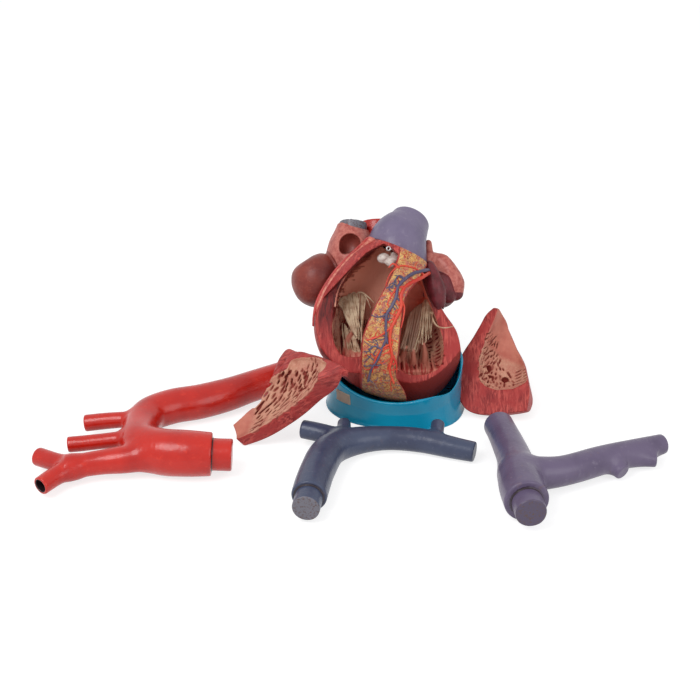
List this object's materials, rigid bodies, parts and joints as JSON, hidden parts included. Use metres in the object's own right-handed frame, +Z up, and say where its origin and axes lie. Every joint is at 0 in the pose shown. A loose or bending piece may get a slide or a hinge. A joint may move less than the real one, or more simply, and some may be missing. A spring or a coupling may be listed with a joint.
{
  "type": "human heart anatomy model",
  "caption": "Opened human heart model on an oval stand, with its ventricle walls and great vessels taken off and laid round it.",
  "frame": {"origin": "middle of the stand's flat underside, on the table", "axes": "+Z up, +X to the right of the heart's opened front, which faces -Y"},
  "size_m": [0.7678, 0.4446, 0.2421],
  "materials": {
    "muscle": "painted crimson with a brushed fibre grain, satin",
    "atrium": "painted brown pink, satin",
    "fat": "painted mottled yellow, satin",
    "artery": "glossy red paint",
    "vein": "slate blue paint, half gloss",
    "pulmonary": "grey purple paint, half gloss",
    "tendon": "cream paint, matt",
    "steel": "bright metal",
    "teal": "glossy teal moulding"
  },
  "bodies": {
    "stand": {"stand": "teal"},
    "heart": {"ventricle_block": "muscle", "front_groove_fat": "fat", "left_coronary_artery": "artery", "great_cardiac_vein": "vein", "right_coronary_artery": "artery", "pulmonary_trunk_stub": "pulmonary", "aortic_root": "artery", "upper_cava_stub": "vein", "right_atrium": "atrium", "left_atrium": "atrium", "tricuspid_valve": "tendon", "mitral_valve": "tendon", "pulmonary_valve": "tendon", "tip_magnet_seat": "steel"},
    "right_wall": {"right_ventricle_wall": "muscle", "right_wall_magnet": "steel"},
    "left_wall": {"left_ventricle_wall": "muscle"},
    "aorta": {"aorta": "artery", "aorta_plug": "artery"},
    "vena_cava": {"vena_cava": "vein", "vena_cava_plug": "vein"},
    "pulmonary_artery": {"pulmonary_artery": "pulmonary", "pulmonary_artery_plug": "pulmonary"}
  },
  "joints": [
    {"name": "heart_lift", "type": "slide", "parent": "stand", "child": "heart", "axis": [0, 0, 1], "range_m": [0, 0.2]},
    {"name": "right_wall_lift", "type": "slide", "parent": "stand", "child": "right_wall", "axis": [0, 0, 1], "range_m": [0, 0.15]},
    {"name": "left_wall_lift", "type": "slide", "parent": "stand", "child": "left_wall", "axis": [0, 0, 1], "range_m": [0, 0.15]},
    {"name": "aorta_lift", "type": "slide", "parent": "stand", "child": "aorta", "axis": [0, 0, 1], "range_m": [0, 0.15]},
    {"name": "vena_cava_lift", "type": "slide", "parent": "stand", "child": "vena_cava", "axis": [0, -0.669, 0.7433], "range_m": [0, 0.15]},
    {"name": "pulmonary_artery_lift", "type": "slide", "parent": "stand", "child": "pulmonary_artery", "axis": [0, 0, 1], "range_m": [0, 0.15]}
  ]
}
